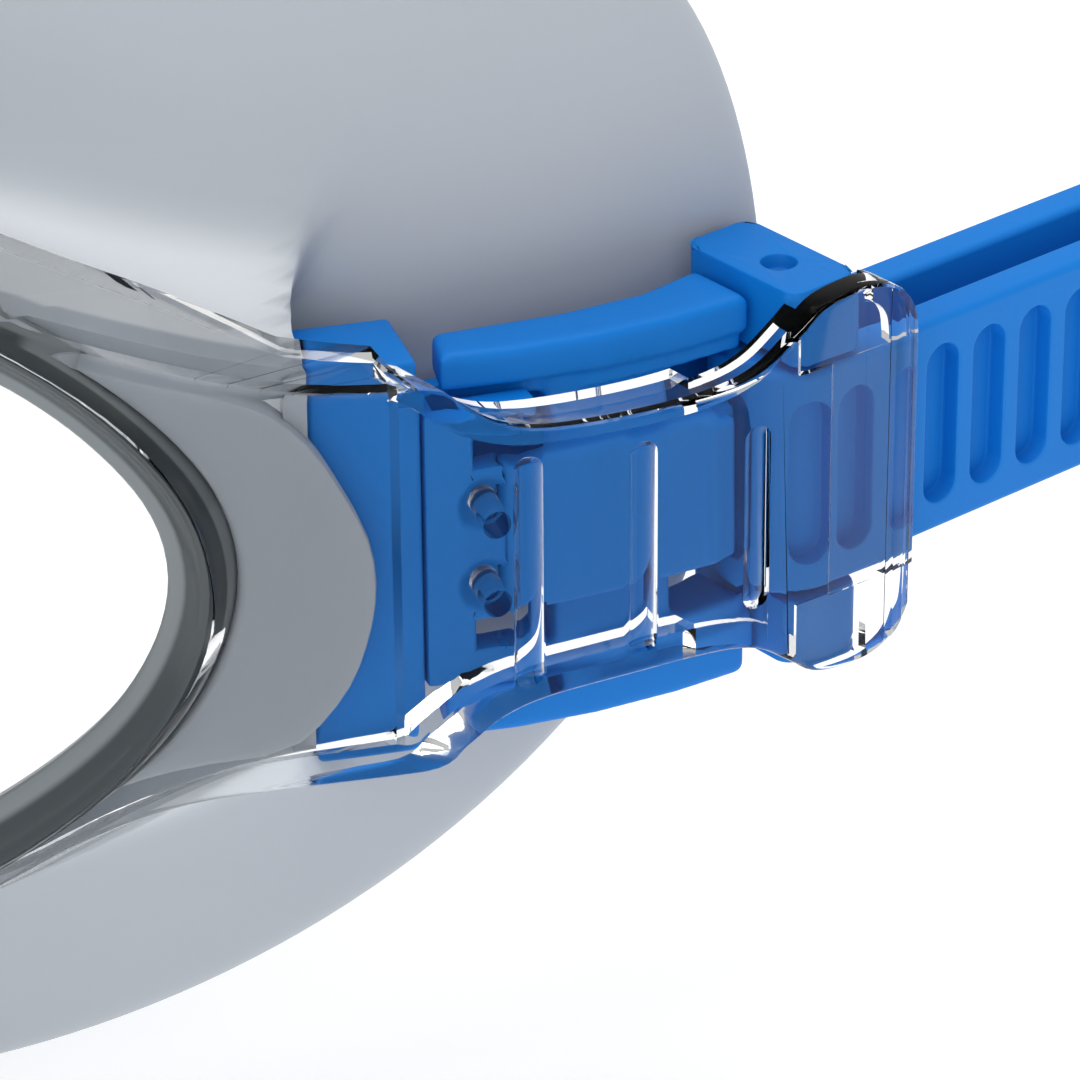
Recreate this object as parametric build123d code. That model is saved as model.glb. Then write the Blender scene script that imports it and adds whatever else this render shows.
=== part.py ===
from build123d import *
from math import sin, cos, radians, hypot
import os

# Swim goggles: a clear wraparound front with two lenses, a soft face skirt and a
# ladder strap held by a buckle at each temple.
# Millimetres. The origin is the middle of the plane through the two temple ends of the
# sealing flange. +X is the wearer's left, +Y points into the face, +Z is up.
# The whole front follows one drum of radius FRONT_R about the Z axis.

# ---- driving dimensions ----
FRONT_R = 83.0            # outer face of the clear front and of both buckle covers
PLATE_T = 2.4             # thickness of the clear front around the lenses
COVER_T = 1.95            # thickness of the clear buckle cover
WALL_T = 1.6              # thickness of the edge wall around the clear front
WALL_IN_R = 75.2          # how far in the edge wall reaches around the eyes
SIDE_WALL_R = 78.7        # how far in it reaches at the temples
REAR_WALL_R = 80.4        # and beside the strap entry

GROOVE_R = 1.05           # grip grooves of the buckle cover
GROOVE_DEPTH = 0.6

LENS_PHI = 33.0           # direction of each lens, degrees out from straight ahead
LENS_OUT_R = 79.2
LENS_IN_R = 77.2
LENS_LAP = 1.6            # how far the lens runs under the gasket lip
GASKET_W = 3.3            # width of the gasket funnel around the clear view

SKIRT_FRONT_R = 80.45     # front face of the skirt, behind the clear front
SKIRT_LIP_R = 78.6
SKIRT_T = 1.5
SKIRT_END_PHI = 61.8      # the skirt tube closes here, next to the temple insert
FLANGE_OUT_R = 70.0
FLANGE_IN_R = 68.6

INSERT_PHI = (61.9, 66.9)
INSERT_R = (72.3, 78.5)
INSERT_H = 12.7

BASE_R = (76.9, 78.5)     # blue plate of the buckle
BASE_H = 9.0
BASE_PHI = (67.0, 72.3)
FLOOR_R = (70.4, 71.6)    # back plate of the buckle, next to the skirt
FLOOR_H = 7.2
EAR_X = (70.6, 80.7)
EAR_Y = (-8.4, -3.0)
EAR_Z = (8.0, 12.9)

PEG_PHI = 69.6
PEG_Z = 2.65
PEG_R = 0.9

HINGE_PHI = 71.0          # living hinge line of the release lever
HINGE_R = 77.7
TONGUE_H = 5.0
TONGUE_T = 1.6
WING_Z = (9.5, 12.0)
LOW_WING_Z = 14.5         # how far down the lower finger wing reaches

STRAP_W = 15.0
STRAP_T = 2.6
WRAP_X = 76.5             # centre of the bend round the roller
WRAP_Y = -5.8
WRAP_R = 4.3
PIN_R = 0.9
PIN_L = 24.6
ROLLER_R = (0.95, 1.4)
ROLLER_L = 15.4
SLOT_PITCH = 4.04
SLOT_W = 2.65
SLOT_H = 11.0
SLOT_DEPTH = 1.3
RUN_END = 40.0            # where the straight side run meets the curve round the head
REAR_DEPTH = 86.0
TAIL_END = 38.0

KEEPER_Y = (27.5, 35.5)
KEEPER_GAP = 0.3
KEEPER_T = 1.2

# outline of one clear view, seen square on: across from the lens middle, and up
VIEW = [(31.0, 1.0), (28.9, 7.6), (22.0, 14.2), (10.0, 19.3), (-6.0, 21.0), (-19.5, 19.0),
        (-28.4, 12.0), (-31.0, 2.5), (-28.8, -9.0), (-21.5, -17.0), (-10.0, -20.6),
        (4.0, -20.3), (15.0, -17.4), (23.4, -12.0), (28.8, -6.0)]

# outline of the clear front from straight ahead, one half: degrees round the drum, and up
FRONT_TOP = [(0, 23.6), (10, 25.6), (20, 26.7), (30, 26.0), (40, 22.9), (46, 20.0),
             (50, 18.2), (54, 16.3), (58, 14.6), (62, 13.4), (67, 13.0), (72, 13.0)]
FRONT_LOW = [(72, -13.0), (67, -13.0), (61, -12.9), (57, -13.2), (54, -14.2), (51, -16.2), (48, -18.8),
             (44, -21.9), (38, -25.2), (30, -26.8), (22, -26.0), (16.5, -22.4), (12, -15.0),
             (7, -7.6), (0, -4.5)]

# outline of the buckle cover from the side: along, and half height
COVER = [(-38.0, 13.0), (-32.8, 12.9), (-31.0, 11.6), (-29.0, 10.1), (-26.0, 9.2), (-20.0, 8.9),
         (-15.0, 9.0), (-12.0, 9.7), (-9.6, 11.3), (-7.8, 12.6), (-5.5, 13.0), (-3.2, 12.9),
         (-1.4, 12.0), (-0.3, 10.4), (0.0, 8.6)]


def on_drum(phi, radius):
    """Plan position of a point on the drum."""
    a = radians(phi)
    return radius * sin(a), -radius * cos(a)


def drum(r_out, r_in, half=60.0):
    """A ring about the Z axis."""
    return Cylinder(r_out, 2 * half) - Cylinder(r_in, 2 * half + 2)


def grow(points, amount):
    """Move a closed outline outward by the same amount all round."""
    out = []
    n = len(points)
    area = sum(points[i][0] * points[(i + 1) % n][1] - points[(i + 1) % n][0] * points[i][1]
               for i in range(n))
    side = 1.0 if area > 0 else -1.0
    for i in range(n):
        x0, z0 = points[i - 1]
        x1, z1 = points[(i + 1) % n]
        dx, dz = x1 - x0, z1 - z0
        size = hypot(dx, dz)
        out.append((points[i][0] + side * amount * dz / size,
                    points[i][1] - side * amount * dx / size))
    return out


def smooth_face(points):
    """A face bounded by a smooth closed curve through the points."""
    return make_face(Spline(*points, periodic=True))


def smooth_line(points, steps=3):
    """Points along a smooth line through the given ones."""
    out = []
    n = len(points)
    for i in range(n - 1):
        a, b, c, d = [points[min(max(i + k, 0), n - 1)] for k in (-1, 0, 1, 2)]
        for step in range(steps):
            t = step / steps
            spot = [0.5 * (2 * b[j] + (c[j] - a[j]) * t
                           + (2 * a[j] - 5 * b[j] + 4 * c[j] - d[j]) * t * t
                           + (3 * b[j] - a[j] - 3 * c[j] + d[j]) * t ** 3) for j in (0, 1)]
            out.append(tuple(spot))
    return out + [points[-1]]


def lens_plane():
    """Plane square to the lens, through the Z axis, facing out."""
    a = radians(LENS_PHI)
    return Plane(origin=(0, 0, 0), x_dir=(cos(a), sin(a), 0), z_dir=(sin(a), -cos(a), 0))


def view_prism(amount):
    """The clear view, grown by an amount and pushed straight out through the front."""
    return extrude(lens_plane() * smooth_face(grow(VIEW, amount)), 95)


def sector(phi0, phi1, r_out, r_in, half):
    """Part of a drum between two directions."""
    far = 2.2 * r_out
    corners = [(0, 0)]
    for step in range(5):
        corners.append(on_drum(phi0 + (phi1 - phi0) * step / 4, far))
    wedge = extrude(make_face(Polyline(*corners, close=True)), half, both=True)
    return drum(r_out, r_in, half + 5) & wedge


def both_sides(shape):
    """The shape and its mirror image."""
    return shape + mirror(shape, about=Plane.YZ)


def front_points(radius):
    """The whole closed outline of the clear front, from straight ahead."""
    line = smooth_line(FRONT_TOP) + smooth_line(FRONT_LOW)
    right = [(radius * sin(radians(p)), z) for p, z in line]
    left = [(-x, z) for x, z in reversed(right[1:-1])]
    return right + left


def outline_face(points, amount):
    """A face with straight edges, moved in or out by an amount."""
    face = make_face(Polyline(*points, close=True))
    if amount == 0:
        return face
    return offset(face, amount, kind=Kind.INTERSECTION)


def front_prism(amount):
    """The outline of the clear front, grown by an amount and pushed back through the drum."""
    return extrude(Plane.XZ * outline_face(front_points(FRONT_R), amount), 95)


def cover_prism(shrink):
    """The side outline of the buckle cover pushed across the temple."""
    top = smooth_line(COVER, 4)
    low = [(y, -z) for y, z in reversed(top)]
    return Pos(60, 0, 0) * extrude(Plane.YZ * outline_face(top + low, -shrink), 30)


def grip_groove(phi, half):
    """Round-bottomed groove with round ends across the outside of the cover."""
    x, y = on_drum(phi, FRONT_R + GROOVE_R - GROOVE_DEPTH)
    run = half - GROOVE_R
    bar = Cylinder(GROOVE_R, 2 * run) + Pos(0, 0, run) * Sphere(GROOVE_R)
    return Pos(x, y, -0.3) * (bar + Pos(0, 0, -run) * Sphere(GROOVE_R))


def peg(z, radius, r_in, r_out):
    """A round bar standing radially at the peg direction."""
    x, y = on_drum(PEG_PHI, (r_in + r_out) / 2)
    return Pos(x, y, z) * Rot(0, 0, PEG_PHI - 90) * Rot(0, 90, 0) * Cylinder(radius, r_out - r_in)


def wall_relief():
    """The space behind the edge wall where it gets shallower towards the temple."""
    points = [(54.1, -52.2), (69.3, -37.9), (95, -37.9), (95, 20), (0, 20), (0, -52.2)]
    return extrude(make_face(Polyline(*points, close=True)), 60, both=True) & Cylinder(SIDE_WALL_R, 100)


def buckle_cover():
    """The channel-shaped clear cover over one buckle."""
    body = cover_prism(0) & drum(FRONT_R, SIDE_WALL_R)
    body -= cover_prism(WALL_T) & drum(FRONT_R - COVER_T, 60)
    rear = Pos(70, -5, 0) * Box(40, 20.6, 60)
    body -= rear & drum(REAR_WALL_R, 60)
    body -= Pos(75, -2, 0) * Box(2 * (FRONT_R - COVER_T - 75), 8, 2 * 8.0)
    for side in (1, -1):
        body -= Pos(75.85, (EAR_Y[0] + EAR_Y[1]) / 2, side * 10.6) * Box(10.2, 5.6, 5.4)
        body += peg(side * PEG_Z, PEG_R, BASE_R[0], FRONT_R - COVER_T + 0.3)
    for phi, half in ((70.7, 8.0), (75.9, 7.4), (81.4, 6.4)):
        body -= grip_groove(phi, half)
    return body & (Pos(80, -13.5, 0) * Box(60, 40, 60))


def front_frame():
    """Clear front: lens surround, temple arms, edge wall, both buckle covers and pegs."""
    body = front_prism(0) & drum(FRONT_R, WALL_IN_R)
    body -= front_prism(-WALL_T) & drum(FRONT_R - PLATE_T, 60)
    cut = Pos(80, -13.5, 0) * Box(60, 40, 60)
    for tool in (wall_relief(), view_prism(GASKET_W), cut):
        body -= tool
        body -= mirror(tool, about=Plane.YZ)
    cover = buckle_cover()
    return body + cover + mirror(cover, about=Plane.YZ)


def lens():
    """One curved lens."""
    return view_prism(LENS_LAP) & drum(LENS_OUT_R, LENS_IN_R)


def lens_gasket():
    """Soft ring that funnels in from the clear front to the lens."""
    ring = view_prism(GASKET_W - 0.02) & drum(FRONT_R - 0.15, LENS_IN_R - 0.6)
    ring -= view_prism(0)
    ring -= view_prism(LENS_LAP + 0.02) & drum(LENS_OUT_R + 0.02, 60)
    for step in range(4):
        r_step = FRONT_R - 0.15 - 0.75 * step
        ring -= view_prism(2.6 - 0.55 * step) & drum(FRONT_R + 2, r_step - 0.75)
    return ring


def skirt_prism(amount):
    """The skirt tube outline pushed back through the drum, as far as its temple ends."""
    block = front_prism(-WALL_T - 0.15 + amount)
    return block & sector(-SKIRT_END_PHI, SKIRT_END_PHI, 95, 40, 60)


def skirt_pad():
    """Front face of the skirt under the clear front, with a rounded end at each temple."""
    end = [(60.0, 16.0), (67.0, 12.6), (70.0, 9.3), (71.4, 5.0), (72.0, 0.0), (71.7, -5.0),
           (70.3, -9.6), (67.0, -13.0), (60.0, -17.0)]
    other = [(-x, z) for x, z in reversed(end)]
    outline = [(40, 40)] + end + [(40, -40), (-40, -40)] + other + [(-40, 40)]
    block = front_prism(-WALL_T - 0.15)
    block &= extrude(Plane.XZ * make_face(Polyline(*outline, close=True)), 95)
    return block & drum(SKIRT_FRONT_R, SKIRT_LIP_R)


def flange_edge(phi):
    """Height of the top and bottom edges of the sealing flange at one direction."""
    share = min(1.0, phi / 89.0)
    top = 6.0 + 36.0 * (1 - share ** 10) ** 0.576
    low = 6.0 - 54.3 * (1 - share ** 2) ** 0.56
    nose = -13.0 - 31.0 * (phi / 24.0) ** 1.6
    middle, half = (low + nose) / 2, (low - nose) / 2
    return top, middle + hypot(half, 2.5)


def flange_blank():
    """The sealing flange before the middle is cut out."""
    ring = drum(FLANGE_OUT_R, FLANGE_IN_R)
    angles = [3 * i for i in range(17)]
    tops = [(FLANGE_OUT_R * sin(radians(p)), flange_edge(p)[0]) for p in angles]
    lows = [(FLANGE_OUT_R * sin(radians(p)), flange_edge(p)[1]) for p in reversed(angles)]
    right = tops + lows
    left = [(-x, z) for x, z in reversed(right[1:-1])]
    front = extrude(Plane.XZ * make_face(Polyline(*(right + left), close=True)), 95)
    front &= ring
    angles = [48, 52, 56, 60, 64, 68, 72, 75, 78, 81, 84, 86, 87.5, 88.6, 89.0]
    tops = [(-FLANGE_OUT_R * cos(radians(p)), flange_edge(p)[0]) for p in angles]
    lows = [(-FLANGE_OUT_R * cos(radians(p)), flange_edge(p)[1]) for p in reversed(angles[:-1])]
    side = extrude(Plane.YZ * make_face(Polyline(*(tops + lows), close=True)), 95)
    side &= ring
    return front + side + mirror(side, about=Plane.YZ)


def face_skirt():
    """Soft skirt: front lip behind the lenses, tube, and wide sealing flange."""
    inside = skirt_prism(-SKIRT_T) & sector(-SKIRT_END_PHI + 1.4, SKIRT_END_PHI - 1.4, 95, 30, 60)
    body = skirt_prism(0) & drum(SKIRT_LIP_R, FLANGE_IN_R)
    body += flange_blank()
    body -= inside
    body += skirt_pad()
    hole = view_prism(GASKET_W) & drum(95, LENS_IN_R - 0.6)
    body -= hole
    return body - mirror(hole, about=Plane.YZ)


def temple_insert():
    """Blue filler block between the skirt and the buckle."""
    return sector(INSERT_PHI[0], INSERT_PHI[1], INSERT_R[1], INSERT_R[0], INSERT_H)


def hinge_cylinder(radius, half):
    """Round bar on the living hinge line."""
    x, y = on_drum(HINGE_PHI, HINGE_R)
    return Pos(x, y, 0) * Cylinder(radius, 2 * half)


def buckle_base():
    """Blue buckle carrier: slotted plate, back plate and the two ears for the roller pin."""
    plate = sector(BASE_PHI[0], BASE_PHI[1], BASE_R[1], BASE_R[0], BASE_H)
    plate -= sector(69.1, 80, 90, 60, 6.9)
    plate += sector(BASE_PHI[0], HINGE_PHI, BASE_R[1], BASE_R[0], TONGUE_H)
    plate -= hinge_cylinder(0.95, 7.0)
    for side in (1, -1):
        plate -= peg(side * PEG_Z, PEG_R, BASE_R[0] - 0.5, BASE_R[1] + 0.5)
    web = sector(BASE_PHI[0], 68.2, BASE_R[1] - 0.5, FLOOR_R[0], FLOOR_H)
    floor = sector(BASE_PHI[0], 87.6, FLOOR_R[1], FLOOR_R[0], FLOOR_H)
    body = plate + web + floor
    for side in (1, -1):
        z = side * (EAR_Z[0] + EAR_Z[1]) / 2
        ear = Box(EAR_X[1] - EAR_X[0], EAR_Y[1] - EAR_Y[0], EAR_Z[1] - EAR_Z[0])
        ear = fillet(ear.edges().filter_by(Axis.Z), 1.2)
        ear = Pos((EAR_X[0] + EAR_X[1]) / 2, (EAR_Y[0] + EAR_Y[1]) / 2, z) * ear
        foot = Pos(71.1, (EAR_Y[0] + EAR_Y[1]) / 2, side * 7.6) * Box(1.0, 5.4, 2.4)
        body += ear + (foot & drum(80, FLOOR_R[0]))
        body -= Pos(WRAP_X, WRAP_Y, side * 12.5) * Cylinder(PIN_R + 0.2, 1.2)
    return body - Pos(WRAP_X, WRAP_Y, 0) * Cylinder(PIN_R, 25.0)


def roller_pin():
    """Steel pin held in the two ears."""
    return Pos(WRAP_X, WRAP_Y, 0) * Cylinder(PIN_R, PIN_L - 0.8)


def strap_roller():
    """Sleeve that turns on the pin and carries the bend of the strap."""
    tube = Cylinder(ROLLER_R[1], ROLLER_L) - Cylinder(ROLLER_R[0], ROLLER_L + 1)
    return Pos(WRAP_X, WRAP_Y, 0) * tube


def release_lever():
    """Tongue with a tooth for the strap, joined to an upper and a lower finger wing."""
    half_t = TONGUE_T / 2
    body = sector(HINGE_PHI, 81.2, HINGE_R + half_t, HINGE_R - half_t, TONGUE_H)
    body += hinge_cylinder(half_t, TONGUE_H)
    body += Pos(76.95, -11.9, 0) * Box(2.1, 2.0, 9.2)
    body += Pos(76.45, -10.9, 0) * Box(1.1, 1.8, 9.2)
    plan = [(71.5, -28.5), (73.6, -24.4), (75.4, -19.4), (76.7, -14.0), (77.4, -9.0),
            (72.4, -9.0), (72.7, -13.7), (71.5, -19.1), (68.6, -26.8)]
    low_plan = [(70.5, -27.4), (72.6, -23.7), (75.0, -19.3), (76.3, -14.0), (76.9, -9.2),
                (72.5, -9.2), (72.8, -13.7), (71.6, -19.1), (68.9, -26.6)]
    for side in (1, -1):
        reach = WING_Z[1] if side > 0 else LOW_WING_Z
        wing = extrude(make_face(Polyline(*plan, close=True)), reach - WING_Z[0])
        wing = Pos(0, 0, WING_Z[0]) * wing
        wing = fillet(wing.edges().group_by(Axis.Z)[-1], 0.6)
        skin = Pos(0, 0, 8.2) * extrude(make_face(Polyline(*low_plan, close=True)), 1.4)
        bridge = sector(73.4, 79.3, 77.0, 75.0, 10.0)
        bridge &= Pos(75, -15, 7.0) * Box(30, 30, 6.6)
        half = wing + skin + bridge
        if side < 0:
            half = mirror(half, about=Plane.XY)
        body += half
    return body


def slot_cutter(width, height, depth):
    """Round-ended recess cutter, opening along +X from its outer face."""
    core = Box(2 * depth, width, height - width)
    for side in (1, -1):
        end = Rot(0, 90, 0) * Cylinder(width / 2, 2 * depth)
        core += Pos(0, 0, side * (height - width) / 2) * end
    return core


def strap_slots():
    """All ladder recesses of one side, along the run, round the bend and on the tail."""
    cutter = slot_cutter(SLOT_W, SLOT_H, SLOT_DEPTH)
    tools = []
    face_x = WRAP_X + WRAP_R
    for i in range(-1, 9):
        y = 3.0 + SLOT_PITCH * i + SLOT_W / 2
        tools.append(Pos(face_x, y, 0) * cutter)
    for turn in (19, 90):
        tools.append(Pos(WRAP_X, WRAP_Y, 0) * Rot(0, 0, -turn) * Pos(WRAP_R, 0, 0) * cutter)
    tools.append(Pos(face_x, -3.75, 0) * slot_cutter(SLOT_W, SLOT_H, SLOT_DEPTH))
    for i in range(8):
        y = 1.0 + SLOT_PITCH * i
        tools.append(Pos(WRAP_X - WRAP_R, y, 0) * cutter)
    return tools


def strap():
    """Ladder strap: round the head, through both buckles and back along the inside."""
    outer_x = WRAP_X + WRAP_R
    inner_x = WRAP_X - WRAP_R
    loop = Pos(0, RUN_END, 0) * extrude(Ellipse(outer_x, REAR_DEPTH), STRAP_W / 2, both=True)
    hole = Ellipse(outer_x - STRAP_T, REAR_DEPTH - STRAP_T)
    loop -= Pos(0, RUN_END, 0) * extrude(hole, STRAP_W, both=True)
    body = loop & (Pos(0, RUN_END + 100, 0) * Box(300, 200, 60))
    run_len = RUN_END - WRAP_Y
    run = Pos(outer_x - STRAP_T / 2, WRAP_Y + run_len / 2, 0) * Box(STRAP_T, run_len, STRAP_W)
    tail_len = TAIL_END - WRAP_Y
    tail = Pos(inner_x + STRAP_T / 2, WRAP_Y + tail_len / 2, 0) * Box(STRAP_T, tail_len, STRAP_W)
    bend = Cylinder(WRAP_R, STRAP_W) - Cylinder(WRAP_R - STRAP_T, STRAP_W + 1)
    bend &= Pos(0, -10, 0) * Box(20, 20, 40)
    side = run + tail + Pos(WRAP_X, WRAP_Y, 0) * bend
    for tool in strap_slots():
        side -= tool
    return body + side + mirror(side, about=Plane.YZ)


def strap_keeper():
    """Loop that holds the tail against the strap."""
    x0 = WRAP_X - WRAP_R - KEEPER_GAP
    x1 = WRAP_X + WRAP_R + KEEPER_GAP
    h = STRAP_W + 2 * KEEPER_GAP
    length = KEEPER_Y[1] - KEEPER_Y[0]
    shell = Box(x1 - x0 + 2 * KEEPER_T, length, h + 2 * KEEPER_T)
    shell = fillet(shell.edges().filter_by(Axis.Y), 1.1)
    shell -= Box(x1 - x0, length + 2, h)
    return Pos((x0 + x1) / 2, (KEEPER_Y[0] + KEEPER_Y[1]) / 2, 0) * shell


def save(shape, node):
    """Write one node, with the volume shown for a quick check."""
    os.makedirs("parts", exist_ok=True)
    export_step(shape, "parts/" + node + ".step")
    box = shape.bounding_box()
    print(node, round(shape.volume, 1), len(shape.solids()), box.min, box.max)


def main():
    save(front_frame(), "front_frame")
    save(face_skirt(), "face_skirt")
    save(strap(), "strap")
    pairs = {"lens": lens(), "lens_gasket": lens_gasket(), "temple_insert": temple_insert(),
             "buckle_base": buckle_base(), "roller_pin": roller_pin(),
             "strap_roller": strap_roller(), "release_lever": release_lever(),
             "strap_keeper": strap_keeper()}
    for name, shape in pairs.items():
        save(shape, name + "_left")
        save(mirror(shape, about=Plane.YZ), name + "_right")


main()
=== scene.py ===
"""Swim goggles: clear wraparound front, soft face skirt, ladder strap and two release buckles.

Everything is in metres in the model's own frame: the origin is the middle of the plane
through the temple ends of the sealing flange, +X is the wearer's left, +Y points into the
face and +Z is up. Sizes in the classes are written in millimetres.
"""
import logging
from dataclasses import dataclass, field
from enum import Enum
from math import asin, atan2, cos, degrees, hypot, pi, radians, sin
from typing import Any, Callable, Sequence

import bmesh
import bpy
from mathutils import Matrix, Vector
from mathutils.bvhtree import BVHTree


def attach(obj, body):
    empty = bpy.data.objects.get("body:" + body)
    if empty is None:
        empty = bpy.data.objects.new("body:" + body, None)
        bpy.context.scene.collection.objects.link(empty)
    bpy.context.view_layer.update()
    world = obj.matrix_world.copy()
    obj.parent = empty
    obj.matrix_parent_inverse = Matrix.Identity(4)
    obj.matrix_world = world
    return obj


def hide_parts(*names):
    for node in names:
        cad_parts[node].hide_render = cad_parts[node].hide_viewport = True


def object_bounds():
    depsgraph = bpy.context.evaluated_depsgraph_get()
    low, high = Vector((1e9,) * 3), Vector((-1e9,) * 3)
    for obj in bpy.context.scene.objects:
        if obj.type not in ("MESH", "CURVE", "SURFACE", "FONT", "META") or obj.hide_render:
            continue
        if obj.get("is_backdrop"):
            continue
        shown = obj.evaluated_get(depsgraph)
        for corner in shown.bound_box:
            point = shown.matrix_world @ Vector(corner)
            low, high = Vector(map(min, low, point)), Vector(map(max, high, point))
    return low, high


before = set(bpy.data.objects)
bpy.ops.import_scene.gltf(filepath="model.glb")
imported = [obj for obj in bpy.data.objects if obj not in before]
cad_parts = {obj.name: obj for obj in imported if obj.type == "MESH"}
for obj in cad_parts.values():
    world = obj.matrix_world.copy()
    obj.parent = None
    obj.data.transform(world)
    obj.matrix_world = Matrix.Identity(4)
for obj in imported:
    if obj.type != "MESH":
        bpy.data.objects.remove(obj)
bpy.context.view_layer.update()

MM = 0.001
log = logging.getLogger("goggles")

Point = tuple[float, float]
Place = Callable[[float, float], Vector]


class Side(Enum):
    """Which temple a piece belongs to, with the sign of its X."""

    LEFT = 1
    RIGHT = -1

    @property
    def word(self) -> str:
        """The side in lower case, as the CAD nodes spell it."""
        return self.name.lower()


# ---------------------------------------------------------------- curves

def on_drum(phi: float, radius: float, height: float) -> Vector:
    """A point on the drum that the whole front follows.

    Args:
        phi: direction in degrees, 0 straight ahead and growing to the wearer's left.
        radius: distance from the drum's axis in millimetres.
        height: height in millimetres.

    Returns:
        The place in metres.
    """
    a = radians(phi)
    return Vector((radius * sin(a), -radius * cos(a), height)) * MM


class Curve:
    """A smooth line through points of a plane, walked by its share of length."""

    def __init__(self, points: Sequence[Point], closed: bool = False, steps: int = 12) -> None:
        """Lay the curve through its points.

        Args:
            points: the points it passes through.
            closed: True if the last point joins the first.
            steps: short runs between two points.
        """
        n = len(points)
        self.run: list[Vector] = []
        for i in range(n if closed else n - 1):
            if closed:
                p = [Vector(points[(i + k) % n]) for k in (-1, 0, 1, 2)]
            else:
                p = [Vector(points[min(max(i + k, 0), n - 1)]) for k in (-1, 0, 1, 2)]
            for s in range(steps):
                self.run.append(self.between(p, s / steps))
        self.run.append(Vector(points[0] if closed else points[-1]))
        self.reach = [0.0]
        for a, b in zip(self.run, self.run[1:]):
            self.reach.append(self.reach[-1] + (b - a).length)

    @staticmethod
    def between(p: Sequence[Vector], t: float) -> Vector:
        """A point between the middle two of four points, at share t of the way.

        Args:
            p: four points in a row.
            t: the share of the way, from 0 to 1.

        Returns:
            The point.
        """
        return 0.5 * (2 * p[1] + (p[2] - p[0]) * t
                      + (2 * p[0] - 5 * p[1] + 4 * p[2] - p[3]) * t * t
                      + (3 * p[1] - p[0] - 3 * p[2] + p[3]) * t ** 3)

    def at(self, share: float) -> Vector:
        """The point at a share of the whole length, from 0 to 1.

        Args:
            share: how far along the line.

        Returns:
            The point.
        """
        goal = min(max(share, 0.0), 1.0) * self.reach[-1]
        low, high = 0, len(self.reach) - 1
        while high - low > 1:
            mid = (low + high) // 2
            if self.reach[mid] <= goal:
                low = mid
            else:
                high = mid
        span = self.reach[high] - self.reach[low]
        t = (goal - self.reach[low]) / span if span else 0.0
        return self.run[low].lerp(self.run[high], t)

    def outward(self, share: float) -> Vector:
        """The unit direction square to the line, to its right.

        Args:
            share: how far along the line, from 0 to 1.

        Returns:
            The direction.
        """
        a, b = self.at(share - 0.002), self.at(share + 0.002)
        if share < 0.002 or share > 0.998:
            a, b = self.run[-2], self.run[1]
            if (self.run[-1] - self.run[0]).length > 0.01:
                a, b = (self.run[0], self.run[1]) if share < 0.5 else (self.run[-2], self.run[-1])
        d = (b - a).normalized()
        return Vector((d.y, -d.x))


# ---------------------------------------------------------------- modelling

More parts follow.
